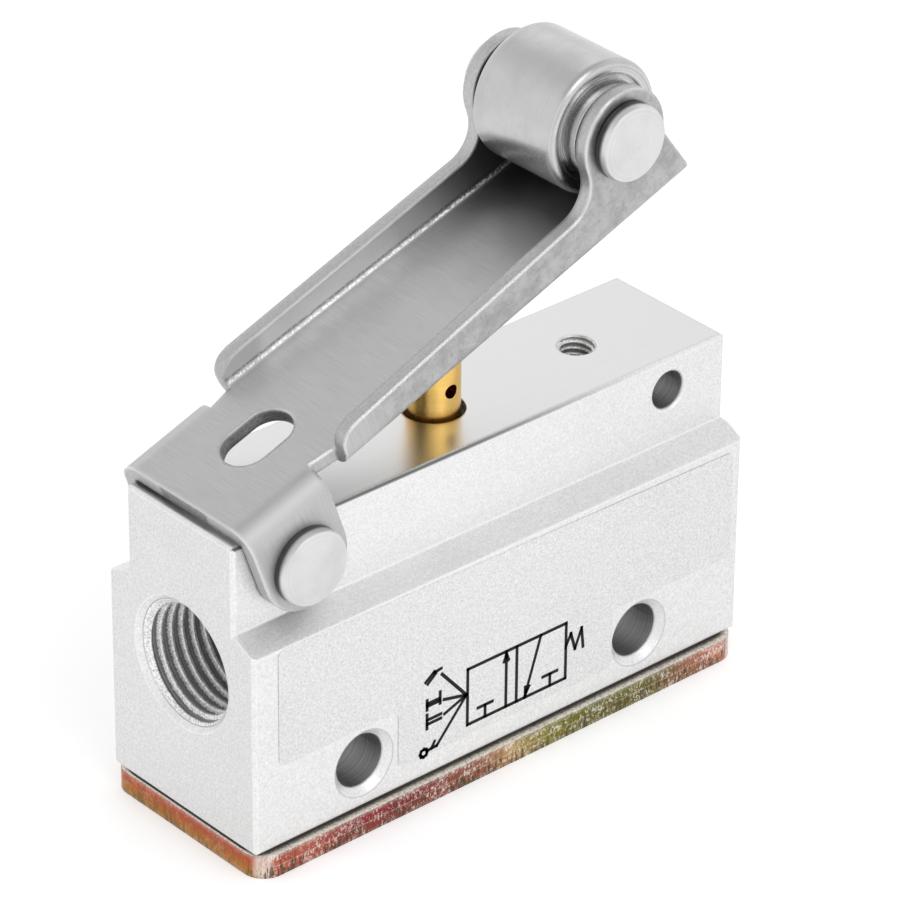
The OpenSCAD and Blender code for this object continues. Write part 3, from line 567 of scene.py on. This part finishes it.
def turnedSteel(nodeName, centre, t=turning):
    s = turnedPieces[nodeName]
    material, tree, shader, place = newFinish(nodeName + "_steel", Metallic=1.0)
    x, y, z = parts(tree, place["Object"])
    flatEnd = between(tree, unsigned(tree, parts(tree, place["Normal"])["Y"]), 0.4, 0.8)
    ends = ringsOn(tree, hypot(tree, x, z, centre.x, centre.z), t["endScale"])
    rings = mixValue(tree, flatEnd, ringsOn(tree, y, t["roundScale"]), ends)
    patch = patchOn(tree, place["Object"], t["patchScale"])
    grain = grainOn(tree, place["Object"], t["grainScale"])["Height"]
    edge = edgeOn(tree, s["edgeRadius"])
    spread = mixValue(tree, flatEnd, s["marks"], s.get("endMarks", s["marks"]))
    level = plus(tree, swing(tree, rings, times(tree, spread, 2.0)), s["tone"])
    colour = addNode(tree, "ShaderNodeCombineColor", {0: level, 1: level, 2: level}).outputs[0]
    colour = overlay(tree, colour, patch, t["patchShare"], grey(s["tone"] - t["patchDrop"]))
    colour = overlay(tree, colour, edge["Edge"], t["edgeShare"], grey(t["edgeTone"]))
    # Painted shade on the head's side next to the sheet
    if "underHeadShadeTone" in s:
        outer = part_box(nodeName)[1].y
        under = between(tree, unsigned(tree, y), outer - t["headDepth"], outer - t["underHeadShadeDepth"])
        colour = mixColour(tree, under, colour, grey(s["underHeadShadeTone"]))
    height = plus(tree, rings, times(tree, grain, s.get("pitted", t["pitted"])))
    setSurface(tree, shader, colour, mixValue(tree, patch, s["rough"] - 0.04, s["rough"] + 0.07),
               bump(tree, height, t["bump"], t["scratch"], edge["Normal"]))
    return material


# Turned brass: rings up the stem, with painted shade at its foot and in the cross hole
brass = {"low": (0.86, 0.50, 0.10, 1.0), "high": (0.99, 0.71, 0.26, 1.0), "patch": (0.74, 0.43, 0.10, 1.0),
         "foot": (0.45, 0.19, 0.03, 1.0), "hole": (0.40, 0.13, 0.03, 1.0), "patchShare": 0.3,
         "footShare": 0.65, "footHigh": 1.3 * mm, "ringScale": 5200.0, "patchScale": 300.0,
         "edgeRadius": 0.1 * mm, "rough": 0.24, "patchRough": 0.33, "bump": 0.15, "scratch": 0.02 * mm}


def turnedBrass(s):
    material, tree, shader, place = newFinish("turnedBrass", Metallic=1.0)
    x, y, z = parts(tree, place["Object"])
    rings = ringsOn(tree, z, s["ringScale"])
    patch = patchOn(tree, place["Object"], s["patchScale"])
    edge = edgeOn(tree, s["edgeRadius"])
    inStem = between(tree, hypot(tree, x, y), stemRadius - 0.03 * mm, stemRadius - 0.15 * mm)
    bored = times(tree, inStem, between(tree, z, bodyHigh.z, bodyHigh.z + 0.5 * mm))
    colour = overlay(tree, mixColour(tree, rings, s["low"], s["high"]), patch, s["patchShare"], s["patch"])
    # Painted shade at the foot of the stem, by the guide ring, and in the cross hole
    foot = between(tree, z, bodyHigh.z + s["footHigh"], bodyHigh.z + 0.1 * mm)
    colour = overlay(tree, colour, foot, s["footShare"], s["foot"])
    setSurface(tree, shader, mixColour(tree, bored, colour, s["hole"]),
               mixValue(tree, patch, s["rough"], s["patchRough"]),
               bump(tree, rings, s["bump"], s["scratch"], edge["Normal"]))
    return material


# Black rubber and plastic: a dull bloom over a fine moulded grain
moulded = {"gasketRubber": {"tone": 0.012, "rough": 0.62}, "sealRubber": {"tone": 0.012, "rough": 0.45},
           "guidePlastic": {"tone": 0.014, "rough": 0.5}}
moulding = {"bloom": 2.2, "grainScale": 5200.0, "patchScale": 320.0, "bump": 0.3, "pit": 0.03 * mm}


def blackMoulding(name, m=moulding):
    tone, rough = moulded[name]["tone"], moulded[name]["rough"]
    material, tree, shader, place = newFinish(name)
    grain = grainOn(tree, place["Object"], m["grainScale"])
    patch = patchOn(tree, place["Object"], m["patchScale"])
    setSurface(tree, shader, mixColour(tree, patch, grey(tone), grey(tone * m["bloom"])),
               mixValue(tree, grain["Tone"], rough - 0.1, rough + 0.12),
               bump(tree, grain["Height"], m["bump"], m["pit"]))
    return material


# Bright zinc on small fasteners, and drawn spring wire
plated = {"zincScrew": {"tone": 0.62, "grainScale": 5200.0},
          "springWire": {"tone": 0.5, "grainScale": 7000.0}}
plating = {"speckle": 0.08, "patchScale": 300.0, "patchShare": 0.35, "patchDrop": 0.12, "rough": 0.3,
           "edgeRadius": 0.1 * mm, "bump": 0.25, "pit": 0.02 * mm}


def platedSteel(name, p=plating):
    tone = plated[name]["tone"]
    material, tree, shader, place = newFinish(name, Metallic=1.0)
    grain = grainOn(tree, place["Object"], plated[name]["grainScale"])
    patch = patchOn(tree, place["Object"], p["patchScale"])
    edge = edgeOn(tree, p["edgeRadius"])
    colour = speckled(tree, grain["Tone"], tone, p["speckle"])
    colour = overlay(tree, colour, patch, p["patchShare"], grey(tone - p["patchDrop"]))
    setSurface(tree, shader, colour, mixValue(tree, patch, p["rough"] - 0.05, p["rough"] + 0.1),
               bump(tree, grain["Height"], p["bump"], p["pit"], edge["Normal"]))
    return material


# Clear film on the printed side: the block's grain shows through it, with more contrast, and painted shade on its
# edges
clear = {"contrast": 1.4, "rimShadeTone": 0.45, "patchScale": 160.0, "rough": 0.44, "patchRough": 0.52,
         "bump": 0.6, "pit": 0.05 * mm, "flushFrom": 15 * mm, "flushTo": -5 * mm}


def clearFilm(s):
    material, tree, shader, place = newFinish("clearFilm", Metallic=1.0)
    grain = grainOn(tree, place["Object"], block["grainScale"])
    patch = patchOn(tree, place["Object"], s["patchScale"])
    x = parts(tree, place["Object"])["X"]
    face = parts(tree, place["Normal"])
    flush = times(tree, between(tree, face["Z"], 0.5, 0.9), between(tree, x, s["flushFrom"], s["flushTo"]))
    # Painted shade on the film's edges, left off the upward edge towards the left
    shadeRim = times(tree, between(tree, unsigned(tree, face["Y"]), 0.9, 0.5), minus(tree, 1.0, flush))
    spread = s["contrast"] * block["speckle"]
    colour = speckled(tree, grain["Tone"], block["filmTone"], spread)
    # Painted shade: the film darkens towards +x like the block, as the light falls off
    dimmed = speckled(tree, grain["Tone"], block["farFilmShadeTone"], spread)
    colour = mixColour(tree, between(tree, x, block["lightFalloffFrom"], block["lightFalloffTo"]), colour, dimmed)
    setSurface(tree, shader, mixColour(tree, shadeRim, colour, grey(s["rimShadeTone"])),
               mixValue(tree, patch, s["rough"], s["patchRough"]),
               bump(tree, grain["Height"], s["bump"], s["pit"]))
    return material


# Black ink: a faint grain, almost no gloss
ink = {"tone": 0.010, "speckle": 0.006, "grainScale": 4200.0, "rough": 0.5}


def printingInk(s):
    material, tree, shader, place = newFinish("printingInk", **{"Specular IOR Level": 0.15})
    grain = grainOn(tree, place["Object"], s["grainScale"])["Tone"]
    setSurface(tree, shader, speckled(tree, grain, s["tone"], s["speckle"]),
               mixValue(tree, grain, s["rough"] - 0.1, s["rough"] + 0.1))
    return material


# Threads: radii of crest, root and mouth, and where each starts and ends below its mouth
threads = {"port": {"pitch": 1.337 * mm, "crest": 5.86 * mm, "root": portRadius - 0.01 * mm,
                    "mouth": portRadius + 0.6 * mm, "start": 0.62 * mm, "end": 10.2 * mm,
                    "along": 110, "around": 144},
           "top": {"pitch": 0.7 * mm, "crest": 1.62 * mm, "root": topRadius - 0.01 * mm,
                   "mouth": topRadius + 0.1 * mm, "start": 0.12 * mm, "end": 7.0 * mm,
                   "along": 120, "around": 72}}
# Each cut thread: its sizes, the middle of its mouth, the way in and the way to its first point
cutThreads = {"inletThread": ("port", (bodyLow.x, 0, portZ), (1, 0, 0), (0, 0, 1)),
              "outletThread": ("port", (bodyHigh.x, 0, portZ), (-1, 0, 0), (0, 0, 1)),
              "nearThread": ("top", (-topX, 0, bodyHigh.z), (0, 0, -1), (1, 0, 0)),
              "farThread": ("top", (topX, 0, bodyHigh.z), (0, 0, -1), (1, 0, 0))}
finishes = {
    "block": anodisedBlock(block), "plate": chromatePlate(plate), "strip": stampedStrip(strip),
    "pivotPin": turnedSteel("pivot_pin", pivot), "axlePin": turnedSteel("roller_axle", axle),
    "bush": turnedSteel("roller_bush_front", axle), "roller": turnedSteel("roller", axle),
    "brass": turnedBrass(brass), "gasket": blackMoulding("gasketRubber"),
    "seal": blackMoulding("sealRubber"), "guide": blackMoulding("guidePlastic"),
    "zinc": platedSteel("zincScrew"), "wire": platedSteel("springWire"),
    "film": clearFilm(clear), "ink": printingInk(ink)}
for threadName, (sizes, mouthCentre, inward, _) in cutThreads.items():
    finishes[threadName] = cutThread(threadName, mouthCentre, inward, threads[sizes])
print("finishes:", len(finishes))

# Which finish each solid of the frame takes
dressed = {"valve_body": "block", "base_plate": "plate", "base_gasket": "gasket", "base_screws": "zinc",
           "stem_guide": "guide", "valve_seat": "brass", "seat_ring_seal": "seal", "plunger": "brass",
           "plunger_ring_seal": "seal", "plunger_spring": "wire", "poppet": "brass", "poppet_face": "seal",
           "poppet_spring": "wire", "spring_cup": "zinc", "lever": "strip", "pivot_pin": "pivotPin",
           "roller": "roller", "roller_bush_front": "bush", "roller_bush_back": "bush",
           "roller_axle": "axlePin"}
for nodeName, finishName in dressed.items():
    slots = nodes[nodeName].data.materials
    slots.clear()
    slots.append(finishes[finishName])
print("solids dressed:", len(dressed))


# Quads of a grid of rows and columns; a closed way joins its last line to its first
def gridQuads(rows, columns, closeRows, closeColumns):
    r = np.arange(rows - (not closeRows))[:, None]
    c = np.arange(columns - (not closeColumns))[None, :]
    here, below = r * columns, (r + 1) % rows * columns
    right = (c + 1) % columns
    return np.stack([here + c, below + c, below + right, here + right], -1).reshape(-1, 4).tolist()


# A closed piece from points and faces, turned so that its faces point outwards
def makePiece(name, points, faces, finish, body, smooth=True):
    points = np.asarray(points, float).reshape(-1, 3)
    fans = np.array([(f[0], f[i], f[i + 1]) for f in faces for i in range(1, len(f) - 1)])
    corner = points[fans]
    volume = np.einsum("ij,ij->i", corner[:, 0], np.cross(corner[:, 1], corner[:, 2])).sum()
    if volume < 0:
        faces = [f[::-1] for f in faces]
    mesh = bpy.data.meshes.new(name)
    mesh.from_pydata(points.tolist(), [], faces)
    mesh.polygons.foreach_set("use_smooth", [smooth] * len(faces))
    mesh.materials.append(finishes[finish])
    mesh.update()
    piece = bpy.data.objects.new(name, mesh)
    bpy.context.scene.collection.objects.link(piece)
    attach(piece, body)
    return piece


# Inside thread, a surface of depth and turn: the radius is a flat-topped wave of depth over pitch less turn.
# A cone from the mouth trims the first crests, and the sleeve closes on the bore's wall.
threadWave = {"root": 0.2, "flank": 0.6, "wall": 0.005 * mm}


def insideThread(name, finish, w=threadWave):
    sizes, mouthCentre, inward, across = cutThreads[finish]
    s = threads[sizes]
    depth = np.linspace(s["start"], s["end"], s["along"])[:, None]
    turn = np.linspace(0, 2 * np.pi, s["around"], endpoint=False)[None, :]
    phase = (depth / s["pitch"] - turn / (2 * np.pi)) % 1
    rise = np.clip((np.abs(2 * phase - 1) - w["root"]) / w["flank"], 0, 1)
    radius = s["root"] - (s["root"] - s["crest"]) * rise
    radius = np.minimum(np.maximum(radius, s["mouth"] - depth), s["root"])
    wall = np.full((2, s["around"]), s["root"] + w["wall"])
    radius = np.vstack([radius, wall])
    depth = np.vstack([depth, [[s["end"]], [s["start"]]]]) * np.ones_like(radius)
    inward, across = np.array(inward, float), np.array(across, float)
    third = np.cross(inward, across)
    ring = np.cos(turn)[..., None] * across + np.sin(turn)[..., None] * third
    points = np.array(mouthCentre) + depth[..., None] * inward + radius[..., None] * ring
    faces = gridQuads(radius.shape[0], s["around"], True, True)
    return makePiece(name, points, faces, finish, "housing")


insideThread("inlet_port_thread", "inletThread")
insideThread("outlet_port_thread", "outletThread")
insideThread("top_thread_near", "nearThread")
insideThread("top_thread_far", "farThread")
print("threads cut")

springs = {"plunger_spring": {"joint": "plunger_slide", "turns": 5.0, "wire": 0.35 * mm},
           "poppet_spring": {"joint": "poppet_slide", "turns": 3.5, "wire": 0.35 * mm}}
# Steps in a turn, sides of the wire and how flat the end coils lie
winding = {"steps": 40, "sides": 14, "ease": 0.65}


# Coil spring: a round wire carried along a helix about Z; its rise eases in and out, so the ends lie flatter
def coilSpring(nodeName, s, w=winding):
    low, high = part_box(nodeName)
    wire, steps, sides = s["wire"], int(s["turns"] * w["steps"]), w["sides"]
    coilRadius = (high.x - low.x) / 2 - wire
    t = np.linspace(0, 1, steps)
    rise = (1 - w["ease"]) * t + w["ease"] * t * t * (3 - 2 * t)
    angle = 2 * np.pi * s["turns"] * t
    radial = np.stack([np.cos(angle), np.sin(angle), np.zeros(steps)], 1)
    centre = coilRadius * radial
    centre[:, 2] = low.z + wire + (high.z - low.z - 2 * wire) * rise
    along = np.gradient(centre, axis=0)
    along /= np.linalg.norm(along, axis=1)[:, None]
    upward = np.cross(along, radial)
    about = np.linspace(0, 2 * np.pi, sides, endpoint=False)[None, :, None]
    ring = np.cos(about) * radial[:, None] + np.sin(about) * upward[:, None]
    faces = gridQuads(steps, sides, False, True)
    faces += [list(range(sides)), list(range((steps - 1) * sides, steps * sides))[::-1]]
    points = centre[:, None] + wire * ring
    piece = makePiece(nodeName + "_wire", points, faces, "wire", "housing")
    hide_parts(nodeName)
    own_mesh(piece)


for springName, springSizes in springs.items():
    coilSpring(springName, springSizes)
print("springs wound")

# Clear film on the printed side, notched round the fixing holes; from the block's middle and underside
film = {"left": -29.0 * mm, "right": 30.8 * mm, "low": 2.5 * mm, "leftHigh": 22.36 * mm,
        "rightHigh": 21.5 * mm, "notch": 9.2 * mm, "leftNotch": -13.9 * mm, "rightNotch": 14.5 * mm,
        "corner": 0.8 * mm, "thick": 0.05 * mm, "arc": 6}


# Outline with round corners: each corner is a quarter arc from its near side to its far side
def roundOutline(corners, radius, arc):
    corners = np.asarray(corners, float)
    before = np.roll(corners, 1, 0) - corners
    after = np.roll(corners, -1, 0) - corners
    before /= np.linalg.norm(before, axis=1)[:, None]
    after /= np.linalg.norm(after, axis=1)[:, None]
    angle = np.linspace(0, np.pi / 2, arc)[None, :, None]
    centre = corners + radius * (before + after)
    bend = np.cos(angle) * after[:, None] + np.sin(angle) * before[:, None]
    return (centre[:, None] - radius * bend).reshape(-1, 2)


# Points of an outline on the printed side, at each of two distances out from it
def onSide(outline, *out):
    x, z = outline[..., 0], bodyLow.z + outline[..., 1]
    return [np.stack([x, np.full_like(x, bodyLow.y - d), z], -1) for d in out]


# Thin sheet standing on the printed side: the outline carried from the block's face to its own thickness
def filmOnSide(s):
    corners = [(s["leftNotch"], s["low"]), (s["rightNotch"], s["low"]), (s["rightNotch"], s["notch"]),
               (s["right"], s["notch"]), (s["right"], s["rightHigh"]), (s["left"], s["leftHigh"]),
               (s["left"], s["notch"]), (s["leftNotch"], s["notch"])]
    outline = roundOutline(corners, s["corner"], s["arc"])
    count = len(outline)
    points = np.concatenate(onSide(outline, 0.0, s["thick"]))
    faces = gridQuads(2, count, False, True)
    faces += [list(range(count)), list(range(2 * count - 1, count - 1, -1))]
    return makePiece("label_film", points, faces, "film", "housing", smooth=False)


filmOnSide(film)

# Flow diagram of a three-way, two-position valve: boxes, arrows, closed ports, a spring, ways to work it.
# Its strokes are in millimetres, from the block's middle and underside.
diagram = {"left": -3.7, "middle": 2.8, "right": 9.4, "low": 3.8, "high": 10.3, "width": 0.38, "thick": 0.012,
           "fan": (-3.85, 7.4), "shift": -1.2, "wheel": (-9.4, 2.9), "wheelRadius": 0.45}


# Strokes from point to point of a chain
def chain(points):
    return [(*a, *b) for a, b in zip(points[:-1], points[1:])]


def diagramStrokes(s):
    left, middle, right, low, high = s["left"], s["middle"], s["right"], s["low"], s["high"]
    boxes = chain([(left, low), (right, low), (right, high), (left, high), (left, low)])
    boxes += [(middle, low, middle, high)]
    arrows = [(1.4, low, 1.4, high), (1.4, high - 0.3, 1.1, high - 1.1),
              (1.4, high - 0.3, 1.7, high - 1.1), (6.0, high, 3.9, low),
              (4.0, low + 0.3, 4.0, low + 1.2), (4.0, low + 0.3, 4.5, low + 1.1)]
    closed = [stroke for x in (-1.35, 7.3)
              for stroke in ((x, low, x, 5.2), (x - 0.95, 5.2, x + 0.95, 5.2))]
    spring = chain([(9.4, 7.5), (10.05, 8.8), (10.65, 6.8), (11.5, 8.9), (11.75, 6.6)])
    rays = [(*s["fan"], *end) for end in ((-7.1, 11.2), (-6.8, 8.1), (-6.7, 6.4), (-7.7, 3.1))]
    knobLever = [(-9.2, 11.1, -8.1, 11.9), (-8.9, 10.8, -7.9, 11.6), (-8.1, 11.8, -7.2, 11.9)]
    pushKnob = [(-9.0, 8.2, -7.3, 8.2), (-9.0, 8.5, -7.5, 8.5),
                (-9.0, 7.8, -9.0, 8.9), (-7.3, 7.9, -7.3, 9.2)]
    plainStem = [(-9.0, 6.6, -7.2, 6.6), (-9.0, 6.1, -7.2, 6.1), (-9.0, 5.6, -9.0, 7.2)]
    turns = np.linspace(0, 2 * np.pi, 9)
    circle = np.array(s["wheel"]) + s["wheelRadius"] * np.stack([np.cos(turns), np.sin(turns)], 1)
    rollerArm = chain(circle.tolist()) + [(-9.0, 3.0, -7.7, 3.1), (-8.4, 3.05, -8.0, 3.7)]
    signs = knobLever + pushKnob + plainStem + rollerArm
    return np.array(boxes + arrows + closed + spring + rays + signs) * mm


# Each stroke is a thin bar: its line widened to both sides and raised off the film
def printedDiagram(s):
    strokes = diagramStrokes(s)
    strokes[:, 0::2] += s["shift"] * mm
    start, end = strokes[:, :2], strokes[:, 2:]
    along = (end - start) / np.linalg.norm(end - start, axis=1)[:, None]
    half = s["width"] * mm / 2
    side = half * np.stack([-along[:, 1], along[:, 0]], 1)
    start, end = start - half * along, end + half * along
    outline = np.stack([start - side, end - side, end + side, start + side], 1)
    layers = onSide(outline, film["thick"], film["thick"] + s["thick"] * mm)
    points = np.concatenate(layers, 1).reshape(-1, 3)
    bar = gridQuads(2, 4, False, True) + [[0, 1, 2, 3], [7, 6, 5, 4]]
    faces = [[i + 8 * n for i in face] for n in range(len(strokes)) for face in bar]
    return makePiece("flow_diagram", points, faces, "ink", "housing", smooth=False)


printedDiagram(diagram)
print("film and diagram laid on")

# Studio: white floor that keeps the shadow, a white room and soft lamps, each a place, a size and a power
studio = {"floorTone": 0.80, "floorHalf": 3.0, "floorDrop": 0.02 * mm, "lift": 0.34, "wallLight": 1.0,
          "ceilingLight": 0.66, "ceilingFrom": 0.45, "ceilingTo": 0.95,
          "lamps": {"key": ((-0.04, -0.47, 0.60), 0.50, 0.9), "back": ((0.30, 0.55, 0.45), 0.50, 0.1),
                    "side": ((-0.55, -0.20, 0.40), 0.40, 0.02)}}


# Matt floor with a lift towards white where the camera, metal or glass sees it
def layFloor(s):
    half = s["floorHalf"]
    corners = ((-half, -half), (half, -half), (half, half), (-half, half))
    mesh = bpy.data.meshes.new("floor")
    mesh.from_pydata([(x, y, -s["floorDrop"]) for x, y in corners], [], [(0, 1, 2, 3)])
    material = bpy.data.materials.new("paleFloor")
    material.use_nodes = True
    tree = material.node_tree
    tree.nodes.clear()
    path = addNode(tree, "ShaderNodeLightPath").outputs
    seen = larger(tree, path["Is Camera Ray"], path["Is Glossy Ray"])
    seen = larger(tree, seen, path["Is Transmission Ray"])
    matt = addNode(tree, "ShaderNodeBsdfDiffuse", {"Color": grey(s["floorTone"])}).outputs[0]
    lift = times(tree, seen, s["lift"])
    glow = addNode(tree, "ShaderNodeEmission", {"Color": grey(1.0), "Strength": lift}).outputs[0]
    both = addNode(tree, "ShaderNodeAddShader", {0: matt, 1: glow}).outputs[0]
    addNode(tree, "ShaderNodeOutputMaterial", {"Surface": both})
    mesh.materials.append(material)
    floor = bpy.data.objects.new("floor", mesh)
    bpy.context.scene.collection.objects.link(floor)


def whiteRoom(s):
    world = bpy.data.worlds.new("whiteRoom")
    world.use_nodes = True
    tree = world.node_tree
    height = parts(tree, addNode(tree, "ShaderNodeTexCoord").outputs["Generated"])["Z"]
    room = between(tree, height, s["ceilingFrom"], s["ceilingTo"], (s["wallLight"], s["ceilingLight"]))
    feed(tree, room, tree.nodes["Background"].inputs["Strength"])
    tree.nodes["Background"].inputs["Color"].default_value = grey(1.0)
    bpy.context.scene.world = world


def hangLamps(s):
    aim = Vector(photoView["target"])
    for name, (place, size, power) in s["lamps"].items():
        data = bpy.data.lights.new(name + "Lamp", "AREA")
        data.energy, data.size, data.shape = power, size, "DISK"
        lamp = bpy.data.objects.new(name + "Lamp", data)
        bpy.context.scene.collection.objects.link(lamp)
        lamp.location = place
        lamp.rotation_mode = "QUATERNION"
        lamp.rotation_quaternion = (aim - Vector(place)).to_track_quat("-Z", "Y")


layFloor(studio)
whiteRoom(studio)
hangLamps(studio)
bpy.context.scene.view_settings.view_transform = "Standard"
print("studio lit")
